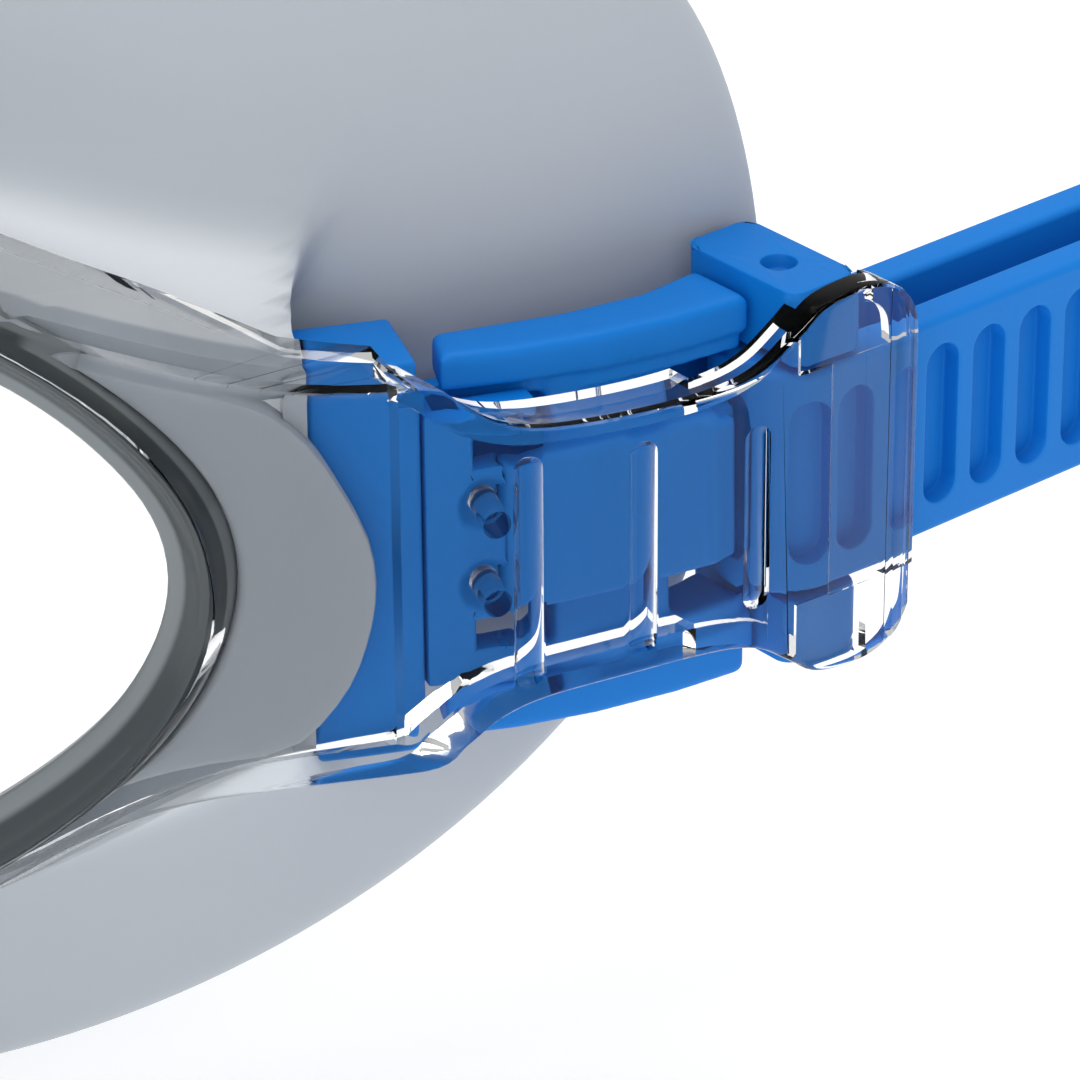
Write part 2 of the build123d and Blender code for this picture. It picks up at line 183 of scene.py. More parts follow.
class Bench:
    """Modelling steps that every piece is made with."""

    @staticmethod
    def only(piece: bpy.types.Object) -> bpy.types.Object:
        """Leave just this piece selected and active.

        Args:
            piece: the piece to select.

        Returns:
            The piece.
        """
        if bpy.context.mode != "OBJECT":
            bpy.ops.object.mode_set(mode="OBJECT")
        bpy.ops.object.select_all(action="DESELECT")
        piece.select_set(True)
        bpy.context.view_layer.objects.active = piece
        return piece

    @staticmethod
    def clear_selection() -> None:
        """Leave nothing selected."""
        bpy.ops.object.select_all(action="DESELECT")

    @classmethod
    def edit(cls, piece: bpy.types.Object, select: bool = True) -> None:
        """Go into edit mode on a piece, with all of it or none of it selected.

        Args:
            piece: the piece to edit.
            select: whether all of it starts selected.
        """
        cls.only(piece)
        bpy.ops.object.mode_set(mode="EDIT")
        bpy.ops.mesh.select_all(action="SELECT" if select else "DESELECT")

    @staticmethod
    def leave() -> None:
        """Go back to object mode."""
        bpy.ops.object.mode_set(mode="OBJECT")

    @classmethod
    def pick_faces(cls, piece: bpy.types.Object,
                   test: Callable[[bpy.types.MeshPolygon], bool]) -> int:
        """Select a piece's faces in code.

        Args:
            piece: the piece, in any mode.
            test: True for each face that is wanted.

        Returns:
            How many faces are selected.
        """
        cls.edit(piece, select=False)
        bpy.ops.mesh.select_mode(type="FACE")
        cls.leave()
        count = 0
        for face in piece.data.polygons:
            face.select = bool(test(face))
            count += face.select
        bpy.ops.object.mode_set(mode="EDIT")
        return count

    @classmethod
    def skin(cls, name: str, place: Place, across: int, along: int,
             flip: bool = False) -> bpy.types.Object:
        """A surface: a grid whose points are moved to their places and merged at its seams.

        Args:
            name: the piece's name.
            place: gives the place of each pair of shares from 0 to 1.
            across: cells in the first direction.
            along: cells in the second direction.
            flip: True to turn the faces over afterwards.

        Returns:
            The piece.
        """
        cls.clear_selection()
        bpy.ops.mesh.primitive_grid_add(x_subdivisions=across, y_subdivisions=along, size=2)
        piece = bpy.context.active_object
        piece.name = piece.data.name = name
        for vertex in piece.data.vertices:
            vertex.co = place((vertex.co.x + 1) / 2, (vertex.co.y + 1) / 2)
        cls.edit(piece)
        bpy.ops.mesh.remove_doubles(threshold=0.00001)
        bpy.ops.mesh.normals_make_consistent(inside=False)
        if flip:
            bpy.ops.mesh.flip_normals()
        cls.leave()
        return piece

    @classmethod
    def adopt(cls, node: str, name: str, weld: float = 0.04,
              whole: bool = True) -> bpy.types.Object:
        """A copy of a CAD node's mesh, merged.

        Args:
            node: the CAD node.
            name: the new piece's name.
            weld: corners nearer than this are made one, in millimetres.
            whole: True to make each flat face one face, which suits faces with no openings.

        Returns:
            The piece.
        """
        piece = bpy.data.objects.new(name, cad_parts[node].data.copy())
        piece.data.name = name
        piece.data.materials.clear()
        bpy.context.scene.collection.objects.link(piece)
        cls.edit(piece)
        bpy.ops.mesh.customdata_custom_splitnormals_clear()
        bpy.ops.mesh.remove_doubles(threshold=0.000003)
        if whole:
            bpy.ops.mesh.dissolve_limited(angle_limit=radians(0.3))
            bpy.ops.mesh.select_all(action="SELECT")
        bpy.ops.mesh.remove_doubles(threshold=weld * MM)
        bpy.ops.mesh.dissolve_degenerate(threshold=weld * MM)
        cls.leave()
        return piece

    @classmethod
    def part_faces(cls, piece: bpy.types.Object,
                   cuts: Sequence[tuple[Vector, Vector]]) -> bpy.types.Object:
        """Make each flat face one face, but keep it parted along some planes.

        Args:
            piece: the piece, merged but still in triangles.
            cuts: a place and a direction for each plane.

        Returns:
            The piece.
        """
        for place, way in cuts:
            cls.edit(piece)
            bpy.ops.mesh.bisect(plane_co=place, plane_no=way, threshold=0.000002)
            bpy.ops.mesh.mark_seam(clear=False)
        bpy.ops.mesh.select_all(action="SELECT")
        bpy.ops.mesh.dissolve_limited(angle_limit=radians(0.3), delimit={"SEAM"})
        bpy.ops.mesh.select_all(action="SELECT")
        bpy.ops.mesh.mark_seam(clear=True)
        cls.leave()
        return piece

    @classmethod
    def finish(cls, piece: bpy.types.Object, kind: str, **settings: Any) -> bpy.types.Object:
        """Add one modifier, set it and apply it.

        Args:
            piece: the piece.
            kind: the modifier's type.
            settings: the modifier's own settings.

        Returns:
            The piece.
        """
        cls.only(piece)
        modifier = piece.modifiers.new(kind.title(), kind)
        for key, value in settings.items():
            setattr(modifier, key, value)
        bpy.ops.object.modifier_apply(modifier=modifier.name)
        return piece

    @classmethod
    def round_edges(cls, piece: bpy.types.Object, width: float, segments: int = 2,
                    angle: float = 32.0) -> bpy.types.Object:
        """Round every edge sharper than an angle.

        Args:
            piece: the piece.
            width: radius in millimetres.
            segments: faces round each edge.
            angle: the smallest bend that counts as an edge, in degrees.

        Returns:
            The piece.
        """
        before = BVHTree.FromPolygons([v.co.copy() for v in piece.data.vertices],
                                      [tuple(f.vertices) for f in piece.data.polygons])
        cls.finish(piece, "BEVEL", width=width * MM, segments=segments, limit_method="ANGLE",
                   angle_limit=radians(angle), use_clamp_overlap=False)
        for vertex in piece.data.vertices:
            near, _, _, gap = before.find_nearest(vertex.co)
            if gap > 0.75 * width * MM:
                vertex.co = near
        return piece

    @classmethod
    def round_where(cls, piece: bpy.types.Object, width: float, segments: int,
                    test: Callable[[Vector], bool]) -> bpy.types.Object:
        """Round only the sharp edges whose middle passes a test.

        Args:
            piece: the piece.
            width: radius in millimetres.
            segments: faces round each edge.
            test: True for the middle of each edge that is wanted, in millimetres.

        Returns:
            The piece.
        """
        before = BVHTree.FromPolygons([v.co.copy() for v in piece.data.vertices],
                                      [tuple(f.vertices) for f in piece.data.polygons])
        cls.edit(piece, select=False)
        bpy.ops.mesh.select_mode(type="EDGE")
        mesh = bmesh.from_edit_mesh(piece.data)
        for edge in mesh.edges:
            if edge.is_manifold and edge.calc_face_angle() > radians(30):
                edge.select_set(test((edge.verts[0].co + edge.verts[1].co) / (2 * MM)))
        bmesh.update_edit_mesh(piece.data)
        bpy.ops.mesh.bevel(offset=width * MM, segments=segments, affect="EDGES",
                           clamp_overlap=False)
        cls.leave()
        for vertex in piece.data.vertices:
            near, _, _, gap = before.find_nearest(vertex.co)
            if gap > 0.75 * width * MM:
                vertex.co = near
        return piece

    @classmethod
    def soften(cls, piece: bpy.types.Object, grain: float, passes: int = 4) -> bpy.types.Object:
        """Give a small moulded piece soft edges all over.

        Args:
            piece: the piece, a closed shape.
            grain: size of the new faces in millimetres.
            passes: how often the surface is relaxed.

        Returns:
            The piece.
        """
        cls.finish(piece, "REMESH", mode="VOXEL", voxel_size=grain * MM, adaptivity=0.0)
        cls.finish(piece, "SMOOTH", factor=0.5, iterations=passes)
        cls.only(piece)
        bpy.ops.object.shade_smooth()
        return piece

    @classmethod
    def smooth(cls, piece: bpy.types.Object, angle: float = 38.0,
               flat_first: bool = False) -> bpy.types.Object:
        """Shade smooth, except across edges sharper than an angle.

        Args:
            piece: the piece.
            angle: the smallest bend that stays crisp, in degrees.
            flat_first: True to keep wide faces flat, so that only their rounding shades.

        Returns:
            The piece.
        """
        cls.only(piece)
        bpy.ops.object.shade_smooth_by_angle(angle=radians(angle))
        if flat_first:
            cls.finish(piece, "WEIGHTED_NORMAL", keep_sharp=True, weight=80)
        return piece

    @classmethod
    def bar(cls, place: Vector, axis: Vector, radius: float, length: float,
            end_radius: float | None = None, sides: int = 40) -> bpy.types.Object:
        """A round or conical bar, for cutting or joining.

        Args:
            place: its middle, in metres.
            axis: the direction it points.
            radius: radius at its start in millimetres.
            length: length in millimetres.
            end_radius: radius at its far end, if that differs.
            sides: faces round it.

        Returns:
            The bar.
        """
        cls.clear_selection()
        turn = axis.to_track_quat("Z", "Y").to_euler()
        bpy.ops.mesh.primitive_cone_add(
            vertices=sides, radius1=radius * MM,
            radius2=(radius if end_radius is None else end_radius) * MM,
            depth=length * MM, location=place, rotation=turn)
        tool = bpy.context.active_object
        bpy.ops.object.transform_apply(location=True, rotation=True, scale=True)
        return tool

    @classmethod
    def combine(cls, piece: bpy.types.Object, tool: bpy.types.Object,
                how: str = "DIFFERENCE") -> bpy.types.Object:
        """Cut a tool out of a piece, or fuse it on, and throw the tool away.

        Args:
            piece: the piece that is kept.
            tool: the other closed shape.
            how: the Boolean modifier's operation.

        Returns:
            The piece.
        """
        cls.finish(piece, "BOOLEAN", operation=how, object=tool, solver="EXACT")
        bpy.data.objects.remove(tool)
        return piece

    @classmethod
    def join(cls, pieces: Sequence[bpy.types.Object]) -> bpy.types.Object:
        """Join pieces into the first one.

        Args:
            pieces: the pieces, the one that is kept first.

        Returns:
            The joined piece.
        """
        cls.only(pieces[0])
        for piece in pieces[1:]:
            piece.select_set(True)
        bpy.ops.object.join()
        return pieces[0]

    @classmethod
    def mirrored(cls, piece: bpy.types.Object, name: str) -> bpy.types.Object:
        """A copy of a piece for the other temple, with its own mesh.

        Args:
            piece: the piece to copy.
            name: the copy's name.

        Returns:
            The copy.
        """
        other = piece.copy()
        other.data = piece.data.copy()
        other.name = other.data.name = name
        bpy.context.scene.collection.objects.link(other)
        other.data.transform(Matrix.Scale(-1, 4, (1, 0, 0)))
        cls.edit(other)
        bpy.ops.mesh.flip_normals()
        cls.leave()
        return other


# ---------------------------------------------------------------- finishes

class Signal:
    """A shader socket that can be used in Python expressions."""

    def __init__(self, desk: "Desk", socket: bpy.types.NodeSocket) -> None:
        """Wrap a socket of a desk's node tree."""
        self.desk, self.socket = desk, socket

    def maths(self, operation: str, a: Any, b: Any) -> "Signal":
        """One Math node on two values."""
        return self.desk.node("ShaderNodeMath", {"operation": operation}, {0: a, 1: b})

    def __add__(self, other: Any) -> "Signal":
        """Sum."""
        return self.maths("ADD", self, other)

    __radd__ = __add__

    def __mul__(self, other: Any) -> "Signal":
        """Product."""
        return self.maths("MULTIPLY", self, other)

    __rmul__ = __mul__

    def __sub__(self, other: Any) -> "Signal":
        """Difference."""
        return self.maths("SUBTRACT", self, other)

    def __rsub__(self, other: Any) -> "Signal":
        """Difference the other way round."""
        return self.maths("SUBTRACT", other, self)

    def __truediv__(self, other: Any) -> "Signal":
        """Quotient."""
        return self.maths("DIVIDE", self, other)

    def __pow__(self, other: Any) -> "Signal":
        """Power."""
        return self.maths("POWER", self, other)


class Desk:
    """One material being made."""

    def __init__(self, name: str) -> None:
        """Start an empty material with a Principled shader and its output.

        Args:
            name: the material's name.
        """
        self.material = bpy.data.materials.new(name)
        self.material.use_nodes = True
        self.tree = self.material.node_tree
        self.tree.nodes.clear()
        self.shader = self.tree.nodes.new("ShaderNodeBsdfPrincipled")
        out = self.tree.nodes.new("ShaderNodeOutputMaterial")
        self.tree.links.new(self.shader.outputs[0], out.inputs[0])

    def plug(self, socket: bpy.types.NodeSocket, value: Any) -> None:
        """Link a signal to a socket, or set its number or colour.

        Args:
            socket: the socket to feed.
            value: a signal, a number or a colour.
        """
        if isinstance(value, Signal):
            self.tree.links.new(value.socket, socket)
        else:
            socket.default_value = value

    def node(self, kind: str, settings: dict[str, Any] | None = None,
             inputs: dict[Any, Any] | None = None, output: Any = 0) -> Signal:
        """Add any node.

        Args:
            kind: the node's type.
            settings: its own settings, set first. A ramp's are under "stops".
            inputs: values or signals by socket name or number.
            output: the output that is handed back.

        Returns:
            The signal of that output.
        """
        node = self.tree.nodes.new(kind)
        for key, value in (settings or {}).items():
            if key == "stops":
                ramp = node.color_ramp
                while len(ramp.elements) < len(value):
                    ramp.elements.new(1.0)
                for element, (where, colour) in zip(ramp.elements, value):
                    element.position, element.color = where, colour
            else:
                setattr(node, key, value)
        for key, value in (inputs or {}).items():
            self.plug(node.inputs[key], value)
        return Signal(self, node.outputs[output])

    def spot(self) -> Signal:
        """The place on the object, in metres."""
        return self.node("ShaderNodeTexCoord", output="Object")

    def noise(self, scale: float, detail: float = 2.0, rough: float = 0.5) -> Signal:
        """Soft grain of a given scale per metre."""
        return self.node("ShaderNodeTexNoise", None, {
            "Vector": self.spot(), "Scale": scale, "Detail": detail, "Roughness": rough})

    def blend(self, share: Any, first: Any, second: Any) -> Signal:
        """Mix two colours."""
        return self.node("ShaderNodeMix", {"data_type": "RGBA"},
                         {0: share, 6: first, 7: second}, output=2)

    def band(self, signal: Signal, low: float, high: float) -> Signal:
        """0 below low, 1 above high and smooth between."""
        return self.node("ShaderNodeMapRange", {"interpolation_type": "SMOOTHSTEP"},
                         {"Value": signal, "From Min": low, "From Max": high})

    def from_axis(self) -> Signal:
        """Distance from the drum's axis, in metres.

        Returns:
            The distance.
        """
        flat = self.node("ShaderNodeVectorMath", {"operation": "MULTIPLY"},
                         {0: self.spot(), 1: (1.0, 1.0, 0.0)})
        return self.node("ShaderNodeVectorMath", {"operation": "LENGTH"}, {0: flat},
                         output="Value")

    def relief(self, height: Signal, depth: float, strength: float = 1.0) -> Signal:
        """Bump from a height signal, with its depth in millimetres."""
        return self.node("ShaderNodeBump", None, {
            "Strength": strength, "Distance": depth * MM, "Height": height})

    def close(self, **sockets: Any) -> bpy.types.Material:
        """Set the shader's sockets and hand the material back.

        Args:
            sockets: values by socket name, with underscores for spaces.

        Returns:
            The material.
        """
        for key, value in sockets.items():
            self.plug(self.shader.inputs[key.replace("_", " ")], value)
        return self.material


def colour(red: float, green: float, blue: float) -> tuple[float, float, float, float]:
    """A display colour from 0 to 255 turned to the light values a shader works in.

    Args:
        red: red, from 0 to 255.
        green: green.
        blue: blue.

    Returns:
        Red, green, blue and full alpha.
    """
    parts = [c / 255 for c in (red, green, blue)]
    lin = [c / 12.92 if c <= 0.04045 else ((c + 0.055) / 1.055) ** 2.4 for c in parts]
    return lin[0], lin[1], lin[2], 1.0


@dataclass(frozen=True)
class ClearResin:
    """Glossy clear polycarbonate of the front, the covers and the lenses."""

    name: str = "clear_resin"
    tint: tuple = (0.985, 0.99, 0.99, 1.0)
    index: float = 1.49
    haze: float = 0.012

    def make(self) -> bpy.types.Material:
        """The material, with a faint moulding ripple and finer wear.

        Returns:
            The material.
        """
        desk = Desk(self.name)
        ripple = desk.noise(90, 1.0)
        wear = desk.noise(1800, 3.0, 0.6)
        rough = desk.band(wear, 0.62, 0.8) * 0.03 + self.haze
        return desk.close(Base_Color=self.tint, Roughness=rough, IOR=self.index,
                          Transmission_Weight=1.0,
                          Specular_Tint=(0.04, 0.04, 0.04, 1.0),
                          Normal=desk.relief(ripple, 0.02, 0.25))


@dataclass(frozen=True)
class SkirtSilicone:
    """Milky grey silicone of the face skirt. Painted light makes its standing wall paler than the
    flange, and painted shade darkens the pad behind the clear front.
    """

    name: str = "skirt_silicone"
    body: tuple = colour(182, 188, 195)
    # painted light: a paler copy of the silicone grey for the standing wall
    pale: tuple = colour(214, 219, 224)
    # painted shade: a darker copy of the silicone grey for the pad under the clear front
    pad: tuple = colour(172, 179, 188)
    pad_from: float = 78.2
    wall_from: float = 70.6

    def make(self) -> bpy.types.Material:
        """The material: colour by distance from the axis, with painted light on the standing wall,
        painted shade on the pad behind the clear front and a fine satin grain.

        Returns:
            The material.
        """
        desk = Desk(self.name)
        out = desk.from_axis()
        # painted light: from this radius outwards the standing wall takes the paler copy
        wall_light_share = desk.band(out, self.wall_from * MM, (self.wall_from + 2.6) * MM)
        # painted shade: from this radius outwards the pad behind the clear front takes the darker
        # copy
        front = desk.band(out, self.pad_from * MM, (self.pad_from + 0.4) * MM)
        cloud = desk.blend(desk.noise(28, 2.0), self.body,
                           tuple(0.93 * c for c in self.body[:3]) + (1.0,))
        shade = desk.blend(front, desk.blend(wall_light_share, cloud, self.pale), self.pad)
        grain = desk.noise(2600, 2.0)
        rough = grain * 0.12 + 0.42
        return desk.close(Base_Color=shade, Roughness=rough, IOR=1.41,
                          Subsurface_Weight=0.25, Subsurface_Radius=(1.0, 1.0, 1.0),
                          Subsurface_Scale=0.003, Sheen_Weight=0.05,
                          Normal=desk.relief(grain, 0.006, 0.5))


@dataclass(frozen=True)
class GasketRubber:
    """Smoky soft ring round each lens, with a paler inner lip."""

    name: str = "gasket_rubber"
    lip: tuple = colour(118, 125, 128)
    funnel: tuple = colour(58, 66, 69)
    lip_to: float = 81.0

    def make(self) -> bpy.types.Material:
        """The material: lip and funnel by distance from the axis.

        Returns:
            The material.
        """
        desk = Desk(self.name)
        out = desk.band(desk.from_axis(), self.lip_to * MM, (self.lip_to + 0.35) * MM)
        grain = desk.noise(2200, 2.0)
        return desk.close(Base_Color=desk.blend(out, self.lip, self.funnel),
                          Roughness=grain * 0.1 + 0.3, IOR=1.45, Coat_Weight=0.15,
                          Normal=desk.relief(grain, 0.005, 0.5))


@dataclass(frozen=True)
class BlueMoulding:
    """Satin blue of the buckle, or of the strap."""

    name: str = "buckle_blue"
    body: tuple = colour(10, 126, 216)
    deep: tuple = colour(4, 114, 203)
    grain_scale: float = 3600.0
    satin: float = 0.42
    soft: float = 0.0

    def make(self) -> bpy.types.Material:
        """The material, with slow colour drift and a fine spark-eroded grain.

        Returns:
            The material.
        """
        desk = Desk(self.name)
        drift = desk.noise(60, 2.0)
        grain = desk.noise(self.grain_scale, 3.0, 0.6)
        rough = grain * 0.14 + self.satin
        return desk.close(Base_Color=desk.blend(drift, self.body, self.deep), Roughness=rough,
                          IOR=1.5, Specular_IOR_Level=0.22, Subsurface_Weight=self.soft,
                          Subsurface_Radius=(0.2, 0.5, 1.0), Subsurface_Scale=0.001,
                          Normal=desk.relief(grain, 0.008, 0.6))


@dataclass(frozen=True)
class PinSteel:
    """Drawn stainless wire of the roller pins."""

    name: str = "pin_steel"

    def make(self) -> bpy.types.Material:
        """The material, with fine drawing lines along the pin.

        Returns:
            The material.
        """
        desk = Desk(self.name)
        lines = desk.node("ShaderNodeTexNoise", None, {
            "Vector": desk.node("ShaderNodeVectorMath", {"operation": "MULTIPLY"},
                                {0: desk.spot(), 1: (1.0, 1.0, 0.03)}),
            "Scale": 9000.0, "Detail": 2.0})
        return desk.close(Base_Color=(0.42, 0.43, 0.45, 1.0), Metallic=1.0,
                          Roughness=lines * 0.2 + 0.22, Normal=desk.relief(lines, 0.003, 0.4))


class Palette:
    """Every finish, made once."""

    def __init__(self) -> None:
        """Make the materials."""
        self.clear = ClearResin().make()
        self.lens = ClearResin(name="lens_resin", tint=(0.99, 0.995, 0.995, 1.0)).make()
        self.skirt = SkirtSilicone().make()
        self.gasket = GasketRubber().make()
        self.buckle = BlueMoulding().make()
        self.strap = BlueMoulding(name="strap_blue", grain_scale=2600.0, satin=0.46,
                                  soft=0.05).make()
        self.keeper = BlueMoulding(name="keeper_blue", satin=0.38).make()
        self.steel = PinSteel().make()
        self.roller = BlueMoulding(name="roller_plastic", body=colour(206, 210, 214),
                                   deep=colour(192, 197, 202), satin=0.35).make()

    @staticmethod
    def dress(piece: bpy.types.Object, material: bpy.types.Material) -> None:
        """Put one material on a piece or on a CAD node's slots.

        Args:
            piece: the piece or CAD node.
            material: what it is made of.
        """
        if piece.material_slots:
            for slot in piece.material_slots:
                slot.material = material
        else:
            piece.data.materials.append(material)


def settle(piece: bpy.types.Object, body: str, slot: str, *nodes: str) -> bpy.types.Object:
    """Fix a finished piece to its body and hide the CAD nodes it stands for.

    Args:
        piece: the finished piece.
        body: the CAD body it rides on.
        slot: the record's material slot, which is not used.
        nodes: the CAD nodes that it replaces.

    Returns:
        The piece.
    """
    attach(piece, body)
    if nodes:
        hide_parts(*nodes)
    log.info("%s: %d faces", piece.name, len(piece.data.polygons))
    return piece


# ---------------------------------------------------------------- outlines shared by pieces

LENS_PHI = 33.0
PER_DEGREE = 1.2          # millimetres that one degree takes when the skirt is laid flat
FLANGE_PHI = 89.0         # how far round the flange's edge reaches, in degrees
VIEW = Curve([(31.0, 1.0), (28.9, 7.6), (22.0, 14.2), (10.0, 19.3), (-6.0, 21.0), (-19.5, 19.0),
              (-28.4, 12.0), (-31.0, 2.5), (-28.8, -9.0), (-21.5, -17.0), (-10.0, -20.6),
              (4.0, -20.3), (15.0, -17.4), (23.4, -12.0), (28.8, -6.0)], closed=True)


def beside_lens(share: float, grow: float, radius: float) -> Vector:
    """A place on the rim of the left clear view.

    Args:
        share: how far round the view, from 0 to 1.
        grow: how far outside the view, in millimetres.
        radius: distance from the drum's axis.

    Returns:
        The place in metres.
    """
    spot = VIEW.at(share) + VIEW.outward(share) * grow
    return on_drum(LENS_PHI + degrees(asin(spot.x / radius)), radius, spot.y)


# ---------------------------------------------------------------- sub-assemblies

@dataclass
class ClearFront:
    """The clear front with its buckle covers, and the two lenses."""

    edge: float = 0.4
    rear_edge: float = 0.2
    rim: float = 3.3
    plate_back: float = 80.6
    cover_back: float = 81.05
    joint_y: float = -33.5
    groove_half: float = 8.5
    groove_y: Point = (-29.0, -10.6)

    def level_step(self) -> None:
        """Run the back of the front smoothly into the thinner back of each cover."""
        for vertex in self.front.data.vertices:
            flat = Vector((vertex.co.x, vertex.co.y)) / MM
            if abs(flat.length - self.plate_back) < 0.05 and abs(flat.y - self.joint_y) < 0.06:
                flat = flat.normalized() * self.cover_back
                vertex.co.x, vertex.co.y = flat * MM
        Bench.edit(self.front)
        bpy.ops.mesh.remove_doubles(threshold=0.0001)
        bpy.ops.mesh.dissolve_degenerate(threshold=0.00001)
        Bench.leave()

    def outer_rim(self, spot: Vector) -> bool:
        """True on the outer edges of the front, away from the lens openings and grooves.

        Args:
            spot: a place on the front, in millimetres.

        Returns:
            Whether the place is on an outer rim.
        """
        radius = hypot(spot.x, spot.y)
        if radius < 82.9:
            return False
        if abs(spot.z) < self.groove_half and self.groove_y[0] < spot.y < self.groove_y[1]:
            return False
        turn = atan2(abs(spot.x), -spot.y) - radians(LENS_PHI)
        flat = Vector((radius * sin(turn), spot.z))
        return min((flat - p).length for p in self.opening) > 0.9

    def build(self) -> None:
        """Make the front and the lenses from their CAD shapes, with rounded edges."""
        shares = [i / 240 for i in range(240)]
        self.opening = [VIEW.at(s) + VIEW.outward(s) * self.rim for s in shares]
        self.front = Bench.adopt("front_frame", "clear_front", 0.01)
        self.level_step()
        Bench.round_where(self.front, self.edge, 3, lambda p: p.y < -1.6 and self.outer_rim(p))
        Bench.round_where(self.front, self.rear_edge, 2, lambda p: p.y > -1.6 and self.outer_rim(p))
        Bench.smooth(self.front, 30)
        self.lenses = []
        for side in Side:
            lens = Bench.adopt(f"lens_{side.word}", f"clear_lens_{side.word}")
            Bench.smooth(lens, 30)
            self.lenses.append((side, lens))

    def dress(self, palette: Palette) -> None:
        """Put the clear resin on and fix the pieces to the mask.

        Args:
            palette: the finishes.
        """
        palette.dress(self.front, palette.clear)
        settle(self.front, "mask", "clear_frame", "front_frame")
        for side, lens in self.lenses:
            palette.dress(lens, palette.lens)
            settle(lens, "mask", "clear_lens", f"lens_{side.word}")


@dataclass
class LensGasket:
    """Soft ring that funnels in from the clear front to each lens."""

    section: Sequence[Point] = ((3.42, 82.6), (3.1, 82.9), (2.7, 82.7), (2.35, 82.2),
                                (1.6, 81.5), (1.15, 81.15), (0.9, 81.0), (0.35, 80.9), (0.06, 80.6),
                                (0.0, 80.2), (0.05, 79.35), (0.3, 79.24), (1.64, 79.24),
                                (1.64, 77.9), (1.66, 76.7), (1.9, 76.6), (3.1, 76.6), (3.42, 76.9))
    around: int = 160

    def build(self) -> None:
        """Sweep the section round the view, then mirror the ring for the other eye."""
        n = len(self.section)

        def place(share: float, turn: float) -> Vector:
            """One point of the ring."""
            grow, radius = self.section[round(turn * n) % n]
            return beside_lens(share % 1.0, grow, radius)

        left = Bench.skin("gasket_ring_left", place, self.around, n)
        Bench.smooth(left, 60)
        self.rings = [(Side.LEFT, left), (Side.RIGHT, Bench.mirrored(left, "gasket_ring_right"))]

    def dress(self, palette: Palette) -> None:
        """Put the rubber on and fix the rings.

        Args:
            palette: the finishes.
        """
        for side, ring in self.rings:
            palette.dress(ring, palette.gasket)
            settle(ring, "mask", "gasket_grey", f"lens_gasket_{side.word}")


